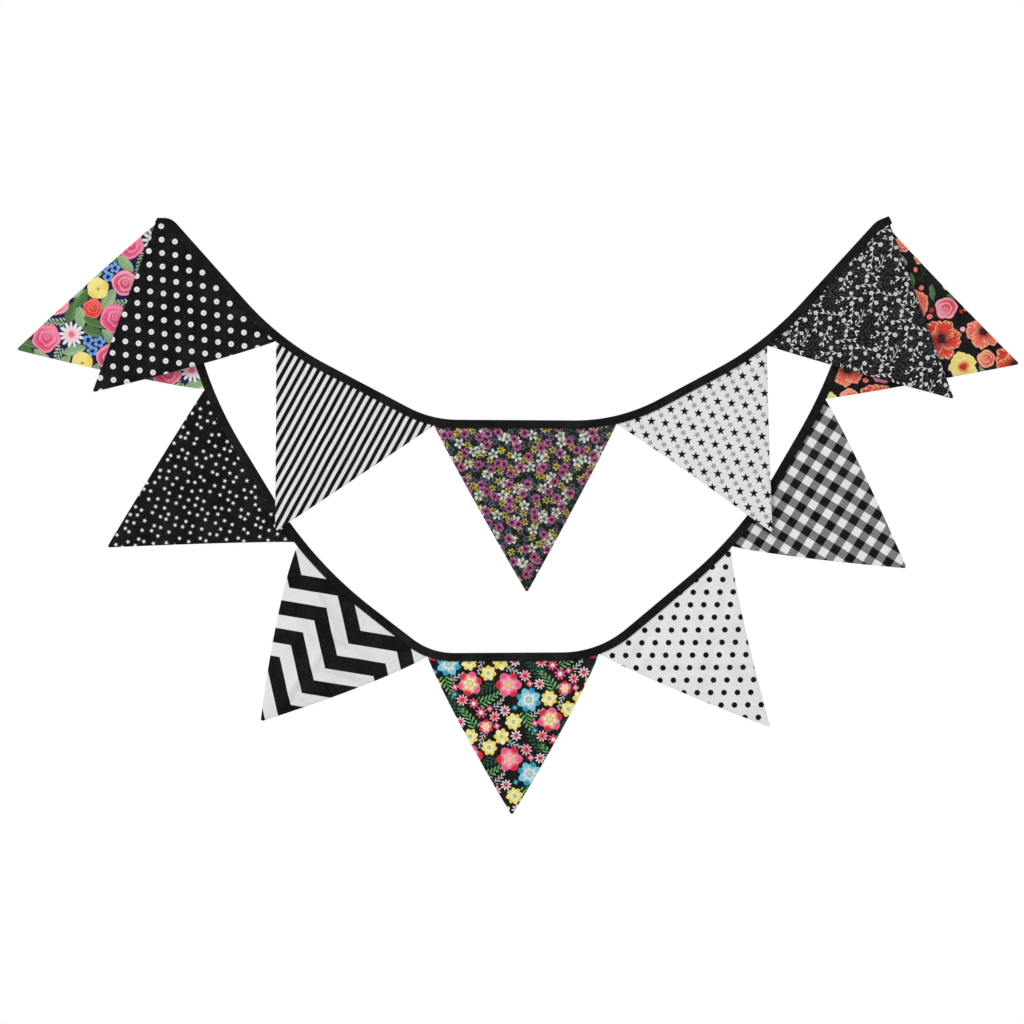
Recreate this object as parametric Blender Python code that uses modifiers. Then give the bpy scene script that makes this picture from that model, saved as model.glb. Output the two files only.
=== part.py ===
"""A row of bunting: twelve pennants on one folded tape, hanging in two swags from its two top corners.

Metres, +Z up, +X along the wall, +Y into the wall. The origin is the pin at the left corner.
The wall is the plane y = 0, and the whole hanging lies in front of it, where y is below 0.
"""

from math import cos, exp, pi, radians, sin

import bmesh
import bpy
import numpy as np

# Tape, a strip folded along its top edge
TAPE_HEIGHT = 0.0096
TAPE_WALL = 0.0010
TAPE_SLOT = 0.0018
TAPE_STEP = 0.014
FINE_STEP = 0.003
FINE_REACH = 0.027
ARC_STEPS = 4

# Where the front swag meets its corners the tape is pinched narrower
PINCH_HEIGHT = 0.0052
PINCH_REACH = 0.011

# The two swags' middle planes, and the half turn between them at the right corner
REAR_DEPTH = 0.0019
TURN_RADIUS = 0.0040
FRONT_DEPTH = REAR_DEPTH + 2 * TURN_RADIUS
TURN_STEPS = 8

# The tape's cut left end leans by this, fading along it
END_LEAN = radians(-31)
LEAN_REACH = 0.008

# Pennants, each two layers of cotton in one thickness
PENNANT_THICK = 0.0012
MARGIN_TOP = 0.0026
SIDE_GAP = 0.0002
ROWS = 12
TIP_BLUNT = 0.026
RIDGE_WIDTH = 0.017

# The tape's top edge, a row for each turn: across, up, and the length eased on each side of it
FRONT_BENDS = (
    (-0.0043, 0.0031, 0.000),
    (0.0113, 0.0031, 0.009),
    (0.1344, -0.1350, 0.059),
    (0.3051, -0.2249, 0.030),
    (0.5169, -0.2261, 0.051),
    (0.6816, -0.1384, 0.061),
    (0.8068, -0.0020, 0.006),
    (0.8173, 0.0017, 0.000),
)
REAR_BENDS = (
    (0.8173, 0.0017, 0.000),
    (0.7455, -0.1974, 0.051),
    (0.6548, -0.3533, 0.076),
    (0.4938, -0.4882, 0.042),
    (0.3043, -0.4892, 0.027),
    (0.1697, -0.3852, 0.086),
    (0.0576, -0.2003, 0.060),
    (0.0023, 0.0025, 0.000),
)

# Pennants in millimetres, in order along the tape. "starts" and "ends" run along its top edge, "drop" is
# the tip below the tape, and "lean" is the tip's shift along it. "bow" is how far the side from each end
# bulges outward. "swell" and "curl" bring the middle and the tip forward. "ridge" is a soft fold that
# stands forward: its place along the top from 0 to 1, its turn in degrees, and its height.
COLUMNS = "name swag starts ends drop lean bow_start bow_end swell curl ridge turn ridge_height".split()
PENNANTS = (
    ("dot_black", "front", 0.6, 195.8, 187, -11.0, 0.0, 2.4, 2.0, 1.4, 0.40, 8, 0.7),
    ("stripe", "front", 195.8, 394.6, 190, -0.5, -0.4, 0.4, 1.5, 2.2, 0.62, -14, 0.8),
    ("small_floral", "front", 394.6, 597.4, 190, 0.5, 1.4, 1.5, 2.2, 1.2, 0.35, 12, 0.6),
    ("star_white", "front", 597.4, 786.3, 190, 3.5, -1.4, -0.8, 1.6, 2.4, 0.55, 18, 0.9),
    ("vine", "front", 786.3, 979.5, 191, 9.0, 1.0, 0.0, 2.1, 1.3, 0.60, -8, 0.6),
    ("poppy", "rear", 5.5, 212.4, 194, -7.0, -1.4, 1.1, 1.2, 1.8, 0.45, 10, 0.5),
    ("gingham", "rear", 213.2, 408.0, 180, 13.5, 2.8, 2.8, 1.0, 1.5, 0.58, -12, 0.5),
    ("dot_white", "rear", 410.5, 597.8, 186, -2.5, -3.6, 3.2, 1.2, 1.8, 0.30, 26, 1.0),
    ("bright_floral", "rear", 599.0, 787.6, 181, 4.0, 4.0, 3.4, 1.4, 1.5, 0.50, -6, 0.5),
    ("chevron", "rear", 788.0, 977.0, 178, -0.5, 4.4, 5.6, 1.3, 1.9, 0.66, 16, 0.8),
    ("star_black", "rear", 982.5, 1181.1, 186, 2.0, -1.2, 1.0, 1.2, 1.2, 0.42, -10, 0.5),
    ("navy_floral", "rear", 1181.1, 1376.0, 192.5, 4.0, 2.8, 1.8, 1.2, 1.7, 0.52, 9, 0.6),
)

# Mean colour of each piece's print
COLORS = {
    "tape": (0.012, 0.012, 0.013),
    "dot_black": (0.14, 0.14, 0.14),
    "stripe": (0.38, 0.38, 0.38),
    "small_floral": (0.16, 0.12, 0.12),
    "star_white": (0.52, 0.52, 0.53),
    "vine": (0.12, 0.12, 0.13),
    "poppy": (0.34, 0.07, 0.04),
    "gingham": (0.26, 0.26, 0.27),
    "dot_white": (0.66, 0.66, 0.68),
    "bright_floral": (0.24, 0.18, 0.13),
    "chevron": (0.40, 0.40, 0.41),
    "star_black": (0.07, 0.07, 0.07),
    "navy_floral": (0.22, 0.12, 0.14),
}


def eased_points(bends):
    """The bends joined by straight runs, each turn rounded by a quadratic curve."""
    rows = np.array(bends)
    points = [rows[0, :2]]
    for before, here, after in zip(rows, rows[1:], rows[2:]):
        corner = here[:2]
        back = (before[:2] - corner) / np.linalg.norm(before[:2] - corner)
        ahead = (after[:2] - corner) / np.linalg.norm(after[:2] - corner)
        for t in np.linspace(0, 1, 25):
            points.append(corner + here[2] * (back * (1 - t) ** 2 + ahead * t**2))
    points.append(rows[-1, :2])
    return np.array(points)


def fading(distance, reach):
    return exp(-((distance / reach) ** 2))


class Run:
    """One swag of the tape's top edge, in the wall's plane. side is 1 if the pennants hang to its right."""

    def __init__(self, bends, side, depth):
        self.points = eased_points(bends)
        steps = np.diff(self.points, axis=0)
        lengths = np.hypot(steps[:, 0], steps[:, 1])
        self.places = np.concatenate([[0], np.cumsum(lengths)])
        self.middles = (self.places[1:] + self.places[:-1]) / 2
        self.headings = np.unwrap(np.arctan2(steps[:, 1], steps[:, 0]))
        self.length = self.places[-1]
        self.side = side
        self.depth = depth
        self.leans = []
        self.pinches = []

    def heading(self, s):
        return np.interp(s, self.middles, self.headings)

    def across(self, s):
        """The direction of the tape's section, from its top edge to its lower edge, and how far it leans."""
        lean = sum(angle * fading(s - place, LEAN_REACH) for place, angle in self.leans)
        return self.heading(s) - self.side * pi / 2 + lean, lean

    def height(self, s):
        pinch = sum(fading(s - place, PINCH_REACH) for place in self.pinches)
        return TAPE_HEIGHT - (TAPE_HEIGHT - PINCH_HEIGHT) * pinch

    def at(self, s, below):
        """The point this far below the top edge, as (across, up)."""
        x = np.interp(s, self.places, self.points[:, 0])
        z = np.interp(s, self.places, self.points[:, 1])
        angle, lean = self.across(s)
        reach = below / cos(lean)
        return np.array([x + reach * cos(angle), z + reach * sin(angle)])

    def stations(self, fine_end):
        """Places along the run, closer together at its start and, if asked, at its end."""
        near = np.arange(0, FINE_REACH, FINE_STEP)
        last = self.length - FINE_REACH if fine_end else self.length
        coarse = np.linspace(FINE_REACH, last, round((last - FINE_REACH) / TAPE_STEP) + 1)
        tail = self.length - near[::-1] if fine_end else []
        return np.concatenate([near, coarse, tail])


front = Run(FRONT_BENDS, 1, FRONT_DEPTH)
rear = Run(REAR_BENDS, -1, REAR_DEPTH)
RUNS = {"front": front, "rear": rear}

# The fold at the right corner halves the angle between the two runs, so that the tape lies flat in both
fold = (front.heading(front.length) + rear.heading(0)) / 2
front.leans = [(0, END_LEAN), (front.length, fold - (front.heading(front.length) - pi / 2))]
rear.leans = [(0, fold - (rear.heading(0) + pi / 2))]
front.pinches = [0, front.length]
rear.pinches = [0]


def clear_scene():
    for item in list(bpy.data.objects):
        bpy.data.objects.remove(item, do_unlink=True)


def fabric(name):
    material = bpy.data.materials.new(name + "_cotton")
    material.use_nodes = True
    shader = material.node_tree.nodes["Principled BSDF"]
    shader.inputs["Base Color"].default_value = (*COLORS[name], 1)
    shader.inputs["Roughness"].default_value = 0.85
    shader.inputs["Metallic"].default_value = 0
    return material


def sheet_object(name, sheet, thick, collection, material):
    """A bmesh sheet given its thickness on both sides."""
    mesh = bpy.data.meshes.new(name)
    sheet.to_mesh(mesh)
    sheet.free()
    piece = bpy.data.objects.new(name, mesh)
    collection.objects.link(piece)
    mesh.materials.append(material)
    solid = piece.modifiers.new("Thickness", "SOLIDIFY")
    solid.thickness = thick
    solid.offset = 0
    solid.use_even_offset = True
    return piece


def tape_sections():
    """For each place on the tape: (base point, section direction, outward direction, height).

    The outward direction is that of the leaf which faces the viewer in the front swag.
    """
    sections = []
    for s in front.stations(True):
        x, z = front.at(s, 0)
        angle, lean = front.across(s)
        sections.append(((x, -FRONT_DEPTH, z), angle, lean, (0, -1, 0), front.height(s)))
    x, z = front.at(front.length, 0)
    angle, lean = front.across(front.length)
    away = (cos(fold + pi / 2), sin(fold + pi / 2))
    for step in range(1, TURN_STEPS):
        turned = pi * step / TURN_STEPS
        reach = TURN_RADIUS * sin(turned)
        y = -FRONT_DEPTH + TURN_RADIUS * (1 - cos(turned))
        base = (x + away[0] * reach, y, z + away[1] * reach)
        out = (away[0] * sin(turned), -cos(turned), away[1] * sin(turned))
        sections.append((base, angle, lean, out, front.height(front.length)))
    for s in rear.stations(False):
        x, z = rear.at(s, 0)
        angle, lean = rear.across(s)
        sections.append(((x, -REAR_DEPTH, z), angle, lean, (0, 1, 0), rear.height(s)))
    return sections


def make_tape(collection):
    """The tape: a long grid folded over its top edge, its section carried along both swags."""
    half = (TAPE_SLOT + TAPE_WALL) / 2
    arc_middle = TAPE_WALL / 2 + half
    sections = tape_sections()
    columns = ARC_STEPS + 3
    sheet = bmesh.new()
    bmesh.ops.create_grid(sheet, x_segments=len(sections) - 1, y_segments=columns - 1, size=1)
    for vert in sheet.verts:
        row = round((vert.co.x + 1) / 2 * (len(sections) - 1))
        column = round((vert.co.y + 1) / 2 * (columns - 1))
        base, angle, lean, out, height = sections[row]
        if column in (0, columns - 1):
            below, aside = height, half if column == 0 else -half
        else:
            turned = pi * (column - 1) / ARC_STEPS
            below, aside = arc_middle - half * sin(turned), half * cos(turned)
        reach = below / cos(lean)
        vert.co.x = base[0] + reach * cos(angle) + aside * out[0]
        vert.co.y = base[1] + aside * out[1]
        vert.co.z = base[2] + reach * sin(angle) + aside * out[2]
    bmesh.ops.recalc_face_normals(sheet, faces=sheet.faces)
    return sheet_object("tape", sheet, TAPE_WALL, collection, fabric("tape"))


def corner_of(row, run, fraction):
    """A point on the tape's lower edge, this fraction along the pennant's top."""
    first = row["starts"] / 1000 + SIDE_GAP
    last = row["ends"] / 1000 - SIDE_GAP
    s = first + (last - first) * fraction
    return s, run.at(s, run.height(s))


def tip_of(row, run):
    start = corner_of(row, run, 0)[1]
    end = corner_of(row, run, 1)[1]
    along = (end - start) / np.linalg.norm(end - start)
    down = run.side * np.array([along[1], -along[0]])
    return (start + end) / 2 + along * row["lean"] / 1000 + down * row["drop"] / 1000


def side_bow(row, run, fraction, fall):
    """How far the sides' bulge moves a point, most a little above the middle of each side."""
    tip = tip_of(row, run)
    shape = 4 * fall**0.75 * (1 - fall**0.75)
    moved = np.zeros(2)
    for place, amount, outward in ((0, row["bow_start"], 1), (1, row["bow_end"], -1)):
        edge = tip - corner_of(row, run, place)[1]
        normal = np.array([edge[1], -edge[0]]) / np.linalg.norm(edge) * outward * run.side
        weight = (1 - abs(fraction - place)) ** 2
        moved += normal * amount / 1000 * shape * weight
    return moved


def forward_of(row, fraction, fall):
    """How far in front of the tape's middle plane the cloth lies, from its swell, its tip and its ridge."""
    easing = min(1, fall / 0.25) ** 2 * (3 - 2 * min(1, fall / 0.25))
    belly = row["swell"] * sin(pi * fall**0.8) * (1 - (2 * fraction - 1) ** 2)
    tip = row["curl"] * fall**2
    width = (row["ends"] - row["starts"]) / 1000
    aside = (fraction - 0.5) * (1 - fall) * width - (row["ridge"] - 0.5) * width * 0.6
    off = aside * cos(radians(row["turn"])) - (fall - 0.4) * row["drop"] / 1000 * sin(radians(row["turn"]))
    ridge = row["ridge_height"] * fading(off, RIDGE_WIDTH) * sin(pi * min(1, fall * 1.1))
    return (belly + tip + ridge) * easing / 1000


def make_pennant(row, collection):
    """One pennant: a triangle divided into rows, with a margin that runs up inside the tape."""
    run = RUNS[row["swag"]]
    sheet = bmesh.new()
    corners = [sheet.verts.new(place) for place in ((0, 0, 0), (1, 0, 0), (0.5, -1, 0))]
    sheet.faces.new(corners)
    bmesh.ops.subdivide_edges(sheet, edges=sheet.edges[:], cuts=ROWS - 1, use_grid_fill=True)
    tip = [vert for vert in sheet.verts if vert.co.y < -0.999]
    bmesh.ops.bevel(
        sheet, geom=tip, affect="VERTICES", offset=TIP_BLUNT, segments=3, profile=0.5, material=-1
    )
    top = [edge for edge in sheet.edges if all(abs(vert.co.y) < 1e-4 for vert in edge.verts)]
    margin = bmesh.ops.extrude_edge_only(sheet, edges=top)["geom"]
    for vert in margin:
        if isinstance(vert, bmesh.types.BMVert):
            vert.co.y = 1
    tip_point = tip_of(row, run)
    for vert in sheet.verts:
        if vert.co.y > 0.5:
            s = corner_of(row, run, min(1, max(0, vert.co.x)))[0]
            x, z = run.at(s, MARGIN_TOP)
            forward = 0
        else:
            fall = max(0, -vert.co.y)
            fraction = min(1, max(0, (vert.co.x - fall / 2) / (1 - fall)))
            top_point = corner_of(row, run, fraction)[1]
            x, z = tip_point + (1 - fall) * (top_point - tip_point) + side_bow(row, run, fraction, fall)
            forward = forward_of(row, fraction, fall)
        vert.co = (x, -run.depth - forward, z)
    bmesh.ops.recalc_face_normals(sheet, faces=sheet.faces)
    return sheet_object("pennant_" + row["name"], sheet, PENNANT_THICK, collection, fabric(row["name"]))


def main():
    clear_scene()
    collection = bpy.data.collections.new("bunting")
    bpy.context.scene.collection.children.link(collection)
    make_tape(collection)
    for values in PENNANTS:
        make_pennant(dict(zip(COLUMNS, values)), collection)


main()
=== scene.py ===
# %% [markdown]
# # A row of cotton bunting
# Twelve printed pennants are sewn into one black tape, which hangs in two swags between two
# corners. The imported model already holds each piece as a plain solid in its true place. This
# lesson dresses those solids: it cuts the same shapes again from finer cloth, sews them, and
# prints each pennant with a pattern that is worked out by shader nodes.

from math import atan2, cos, hypot, pi, radians, sin

import bmesh
import bpy
import numpy as np
from mathutils import Matrix, Vector, noise


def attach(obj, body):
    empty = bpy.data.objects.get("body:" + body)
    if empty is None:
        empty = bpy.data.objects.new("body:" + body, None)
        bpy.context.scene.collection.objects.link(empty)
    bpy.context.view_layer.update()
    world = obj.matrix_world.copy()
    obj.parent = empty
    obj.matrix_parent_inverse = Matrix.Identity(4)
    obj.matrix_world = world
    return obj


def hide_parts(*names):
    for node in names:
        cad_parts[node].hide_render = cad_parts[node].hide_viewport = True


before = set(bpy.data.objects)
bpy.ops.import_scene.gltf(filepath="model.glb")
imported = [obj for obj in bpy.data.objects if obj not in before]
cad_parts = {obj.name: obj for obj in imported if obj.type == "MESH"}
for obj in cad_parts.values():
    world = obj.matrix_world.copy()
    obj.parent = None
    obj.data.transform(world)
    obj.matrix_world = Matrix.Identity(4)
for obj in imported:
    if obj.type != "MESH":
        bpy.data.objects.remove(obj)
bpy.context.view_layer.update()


# %% [markdown]
# ## Where the tape runs
# A real swag of bunting hangs in a soft chain of nearly straight runs, because each pennant's
# weight straightens the tape above it. So the tape's top edge is a row of bends, each as (across,
# up, length over which it is eased), in metres. They are the solids' bends, but the tape turns
# more closely at the right corner. The first swag lies in front, then the tape folds over at
# that corner and the second swag comes back behind.

# %% The two swags' bends
TAPE_HEIGHT = 0.0096
PINCH_HEIGHT = 0.0052
PINCH_REACH = 0.011
REAR_DEPTH = 0.0019
TURN_RADIUS = 0.0040
TURN_REACH = 0.0015
FRONT_DEPTH = REAR_DEPTH + 2 * TURN_RADIUS
END_LEAN = radians(-31)
LEAN_REACH = 0.008

FRONT_BENDS = (
    (-0.0043, 0.0031, 0.000),
    (0.0113, 0.0031, 0.009),
    (0.1344, -0.1350, 0.059),
    (0.3051, -0.2249, 0.030),
    (0.5169, -0.2261, 0.051),
    (0.6816, -0.1384, 0.061),
    (0.8078, -0.0006, 0.006),
    (0.8204, 0.0045, 0.000),
)
REAR_BENDS = (
    (0.8173, 0.0017, 0.000),
    (0.7455, -0.1974, 0.051),
    (0.6548, -0.3533, 0.076),
    (0.4938, -0.4882, 0.042),
    (0.3043, -0.4892, 0.027),
    (0.1697, -0.3852, 0.086),
    (0.0576, -0.2003, 0.060),
    (0.0023, 0.0025, 0.000),
)

print(len(FRONT_BENDS), "bends in front,", len(REAR_BENDS), "behind")

# %% [markdown]
# ## Following a swag
# Everything on the row is placed by a distance along a swag's top edge. A curve object could
# carry it, but `Swag` is plainer: it keeps the eased edge as points, and says for any distance
# where the tape is, which way it hangs and how high it is. Each swag starts at a top corner,
# where the tape leans over and is pinched to about half its height.

# %% Follow the two swags
def eased_points(bends):
    """The bends joined by straight runs, each turn rounded by a quadratic curve."""
    rows = np.array(bends)
    points = [rows[0, :2]]
    for before, here, after in zip(rows, rows[1:], rows[2:]):
        corner = here[:2]
        back = (before[:2] - corner) / np.linalg.norm(before[:2] - corner)
        ahead = (after[:2] - corner) / np.linalg.norm(after[:2] - corner)
        for t in np.linspace(0, 1, 25):
            points.append(corner + here[2] * (back * (1 - t) ** 2 + ahead * t**2))
    points.append(rows[-1, :2])
    return np.array(points)


def fading(distance, reach):
    return np.exp(-((distance / reach) ** 2))


class Swag:
    """One swag of the tape's top edge. side is 1 if the pennants hang to the right of its run."""

    def __init__(self, bends, side, depth):
        self.points = eased_points(bends)
        steps = np.diff(self.points, axis=0)
        lengths = np.hypot(steps[:, 0], steps[:, 1])
        self.places = np.concatenate([[0], np.cumsum(lengths)])
        self.middles = (self.places[1:] + self.places[:-1]) / 2
        self.headings = np.unwrap(np.arctan2(steps[:, 1], steps[:, 0]))
        self.length = self.places[-1]
        self.side = side
        self.depth = depth
        self.lean = 0

    def heading(self, s):
        return np.interp(s, self.middles, self.headings)

    def across(self, s):
        """The direction from the tape's top edge to its lower edge, and how far it leans."""
        lean = self.lean * fading(s, LEAN_REACH)
        return self.heading(s) - self.side * pi / 2 + lean, lean

    def height(self, s):
        return TAPE_HEIGHT - (TAPE_HEIGHT - PINCH_HEIGHT) * fading(s, PINCH_REACH)

    def at(self, s, below):
        """The point this far below the top edge, as (across, up)."""
        x = np.interp(s, self.places, self.points[:, 0])
        z = np.interp(s, self.places, self.points[:, 1])
        angle, lean = self.across(s)
        reach = below / np.cos(lean)
        return np.stack([x + reach * np.cos(angle), z + reach * np.sin(angle)], axis=-1)


front = Swag(FRONT_BENDS, 1, FRONT_DEPTH)
rear = Swag(REAR_BENDS, -1, REAR_DEPTH)
SWAGS = {"front": front, "rear": rear}

# At the right corner the fold halves the angle between the swags, so that the rear one lies flat
fold = (front.heading(front.length) + rear.heading(0)) / 2
front.lean = END_LEAN
rear.lean = fold - (rear.heading(0) + pi / 2)
print("front swag", round(front.length, 3), "m, rear swag", round(rear.length, 3), "m")

# %% [markdown]
# ## Which pennant hangs where
# Every pennant is the same cut, an isosceles triangle, but no two hang alike. So each has one
# row in a table: where its top starts and ends along its swag, how far its tip drops and leans,
# how its two sides bulge, how far it swells and curls forward, and one soft fold: its place
# across, its turn in degrees and its height. All other sizes are in millimetres.

# %% The table of pennants
COLUMNS = (
    *("name", "swag", "starts", "ends", "drop", "lean", "bow_start", "bow_end"),
    *("swell", "curl", "ridge", "turn", "ridge_height"),
)
PENNANTS = (
    ("dot_black", "front", 0.6, 195.8, 187, -11.0, 0.0, 2.4, 2.0, 1.4, 0.40, 8, 0.7),
    ("stripe", "front", 195.8, 394.6, 190, -0.5, -0.4, 0.4, 1.5, 2.2, 0.62, -14, 0.8),
    ("small_floral", "front", 394.6, 597.4, 190, 0.5, 1.4, 1.5, 2.2, 1.2, 0.35, 12, 0.6),
    ("star_white", "front", 597.4, 786.3, 190, 3.5, -1.4, -0.8, 1.6, 2.4, 0.55, 18, 0.9),
    ("vine", "front", 786.3, 985.0, 191, 10.0, 1.0, 0.0, 2.1, 1.3, 0.60, -8, 0.6),
    ("poppy", "rear", 2.5, 212.4, 194, -5.5, -1.4, 1.1, 1.2, 1.8, 0.45, 10, 0.5),
    ("gingham", "rear", 213.2, 408.0, 180, 13.5, 2.8, 2.8, 1.0, 1.5, 0.58, -12, 0.5),
    ("dot_white", "rear", 410.5, 597.8, 186, -2.5, -3.6, 3.2, 2.5, 1.8, 0.30, 26, 1.0),
    ("bright_floral", "rear", 599.0, 787.6, 181, 4.0, 4.0, 3.4, 1.4, 1.5, 0.50, -6, 0.5),
    ("chevron", "rear", 788.0, 977.0, 178, -0.5, 4.4, 5.6, 3.4, 1.9, 0.66, 16, 0.8),
    ("star_black", "rear", 982.5, 1181.1, 186, 2.0, -1.2, 1.0, 1.2, 1.2, 0.42, -10, 0.5),
    ("navy_floral", "rear", 1181.1, 1376.0, 192.5, 4.0, 2.8, 1.8, 1.2, 1.7, 0.52, 9, 0.6),
)
PENNANTS = [dict(zip(COLUMNS, values)) for values in PENNANTS]
widths = [row["ends"] - row["starts"] for row in PENNANTS]
print(len(PENNANTS), "pennants, tops", round(min(widths), 1), "mm to", round(max(widths), 1), "mm")

# %% [markdown]
# ## How a pennant hangs
# Only a pennant's two upper corners are fixed, by the tape. The functions below work out the
# rest from its row: its own flat frame, its tip, the bulge of its sides, and how far its middle
# stands forward. A cloth simulation would make folds too, but not the ones in the photograph.

# %% Hang a pennant
SIDE_GAP = 0.0002
BOW_SKEW = 0.75
EASED_TO = 0.25
SWELL_SKEW = 0.8
RIDGE_WIDTH = 0.017
RIDGE_SPREAD = 0.6
RIDGE_MIDDLE = 0.4


def corner_of(row, run, fraction):
    """A point on the tape's lower edge, this fraction along the pennant's top."""
    first = row["starts"] / 1000 + SIDE_GAP
    last = row["ends"] / 1000 - SIDE_GAP
    s = first + (last - first) * fraction
    return s, run.at(s, run.height(s))


def frame_of(row, run):
    """The pennant's own flat frame: the middle of its top, the way across, and the way down."""
    start = corner_of(row, run, 0)[1]
    end = corner_of(row, run, 1)[1]
    along = (end - start) / np.linalg.norm(end - start)
    down = run.side * np.array([along[1], -along[0]])
    return (start + end) / 2, along, down


def tip_of(row, run):
    middle, along, down = frame_of(row, run)
    return middle + along * row["lean"] / 1000 + down * row["drop"] / 1000


def side_bow(row, run, tip, fraction, fall):
    """How far the sides' bulge moves each point, most a little above the middle of each side."""
    shape = 4 * fall**BOW_SKEW * (1 - fall**BOW_SKEW)
    moved = 0
    for place, amount, outward in ((0, row["bow_start"], 1), (1, row["bow_end"], -1)):
        edge = tip - corner_of(row, run, place)[1]
        normal = np.array([edge[1], -edge[0]]) / np.linalg.norm(edge) * outward * run.side
        weight = (1 - abs(fraction - place)) ** 2
        moved = moved + np.outer(amount / 1000 * shape * weight, normal)
    return moved


def forward_of(row, fraction, fall):
    """How far in front of the tape's middle plane the cloth lies, from its swell, tip and ridge."""
    start = np.minimum(1, fall / EASED_TO)
    easing = start**2 * (3 - 2 * start)
    belly = row["swell"] * np.sin(pi * fall**SWELL_SKEW) * (1 - (2 * fraction - 1) ** 2)
    tip = row["curl"] * fall**2
    width = (row["ends"] - row["starts"]) / 1000
    turn = radians(row["turn"])
    aside = (fraction - 0.5) * (1 - fall) * width - (row["ridge"] - 0.5) * width * RIDGE_SPREAD
    off = aside * cos(turn) - (fall - RIDGE_MIDDLE) * row["drop"] / 1000 * sin(turn)
    ridge = row["ridge_height"] * fading(off, RIDGE_WIDTH) * np.sin(pi * np.minimum(1, fall * 1.1))
    return (belly + tip + ridge) * easing / 1000


print("the stripe's tip hangs at", tip_of(PENNANTS[1], front).round(3))

# %% [markdown]
# ## Creases and unevenness
# Cotton that has been folded in a drawer and pressed keeps soft creases. Each one here is a row
# with two ends in the pennant's own frame (millimetres across from the middle of its top, and
# up, so below the tape is negative), a width and a height: above zero it is a ridge, below zero
# a trough. A little smooth noise on top keeps the cloth from looking like card. The creases are
# placed one by one, most of them on the pale pennants, where they show.

# %% The table of creases
CREASES = {
    "dot_white": (
        (-26, -16, -72, -31, 5, -2.4),
        (63, -35, -7, -92, 7, -1.1),
        (24, -15, -8, -68, 9, 1.4),
        (-44, -67, 25, -118, 4, -1),
        (-39, -25, -70, -41, 5, 0.9),
    ),
    "star_white": (
        (70, -45, 18, -44, 4, -0.9),
        (77, -24, 47, -28, 4, -0.6),
        (-15, -50, -8, -122, 8, 0.7),
        (36, -89, 6, -137, 6, 0.5),
    ),
    "chevron": (
        (-52, -25, 7, -49, 5, 3.3),
        (-29, -20, 8, -29, 5, -2.6),
        (-32, -58, 0, -72, 5, -2.9),
        (-2, -59, 4, -90, 5, 2.8),
        (14, -54, 42, -48, 5, -2.6),
        (25, -87, 55, -74, 5, -2.2),
        (1, -116, 6, -142, 5, 2.6),
        (12, -3, 20, -20, 3, -1.6),
    ),
    "gingham": (
        (62, -29, 14, -80, 8, 1.6),
        (-14, -37, -48, -92, 6, -1.3),
        (14, -102, -11, -142, 6, -1.3),
    ),
    "stripe": (
        (-4, -3, 50, 1, 5, -1.5),
        (-56, -26, 11, -80, 8, 1.4),
        (-11, -66, 3, -136, 6, -1.1),
    ),
    "dot_black": (
        (-57, -51, 4, -61, 7, -2.1),
        (-36, -68, 33, -80, 7, 2.1),
        (11, -10, 48, -43, 7, -1.8),
        (-71, -4, -34, -13, 6, 1.3),
    ),
    "small_floral": (
        (-51, -23, -23, -97, 8, -1.2),
        (40, -18, 16, -108, 8, 1.3),
        (-12, -108, 3, -160, 6, 0.9),
    ),
    "vine": (
        (24, -1, -5, -70, 8, 1.4),
        (45, -56, 0, -123, 7, -1.2),
        (-49, -24, -40, -76, 6, 1.1),
    ),
    "poppy": (
        (48, -59, 10, -138, 7, 1.2),
        (-7, -108, -4, -155, 5, -0.9),
    ),
    "bright_floral": (
        (-51, -27, -25, -95, 8, 1.2),
        (44, -28, 16, -98, 8, -1.2),
        (-10, -101, 0, -148, 6, 0.8),
    ),
    "star_black": (
        (-10, -23, 7, -17, 4, -1.6),
        (-58, -42, 22, -63, 8, 1.8),
        (-26, -100, 12, -136, 7, -1.3),
        (19, -22, 70, -36, 6, -1.4),
    ),
    "navy_floral": (
        (-21, -134, 28, -95, 7, 1.2),
        (-44, -92, 0, -79, 6, -1),
    ),
}
CREASE_END = 2.5
RUMPLE_HEIGHT = 0.5
RUMPLE_SIZE = 34
RUMPLE_FINER = 2.3
RUMPLE_FINER_SHARE = 0.4


def crease_rise(name, across, up):
    """How far the creases move this point forward, in millimetres."""
    rise = 0
    for x0, y0, x1, y1, width, height in CREASES[name]:
        length = hypot(x1 - x0, y1 - y0)
        ahead = ((across - x0) * (x1 - x0) + (up - y0) * (y1 - y0)) / length
        aside = ((across - x0) * (y1 - y0) - (up - y0) * (x1 - x0)) / length
        beyond = np.maximum(np.maximum(-ahead, ahead - length), 0)
        rise = rise + height * fading(aside, width) * fading(beyond, CREASE_END * width)
    return rise


def rumple(seed, across, up):
    """A slow unevenness of the cloth, in millimetres, its own on each pennant."""
    rise = []
    for x, y in zip(across, up):
        place = Vector((x / RUMPLE_SIZE, y / RUMPLE_SIZE, seed * 7.3))
        finer = RUMPLE_FINER_SHARE * noise.noise(place * RUMPLE_FINER)
        rise.append(RUMPLE_HEIGHT * (noise.noise(place) + finer))
    return np.array(rise)


print(sum(len(rows) for rows in CREASES.values()), "creases on", len(CREASES), "pennants")

# %% [markdown]
# ## Cloth with a thickness
# On the real row each pennant is two triangles sewn face to face, turned and pressed, which
# leaves its edges rounded. So every cloth here starts as an open sheet. Solidify gives it its
# layers, as much as a vertex group says at each point, and Bevel rounds its rim. A pennant's
# sheet is one triangle, divided into a fine lattice by `subdivide_edges`, with its point trimmed
# and a margin above its top, because all twelve can then be bent from the same lattice.

# %% Make the sheets
LATTICE_ROWS = 84
TIP_TRIM = 0.988
TIP_ROUND = 0.003


def set_out(name, data):
    """A new object in the scene, at the origin."""
    thing = bpy.data.objects.new(name, data)
    bpy.context.scene.collection.objects.link(thing)
    return thing


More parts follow.
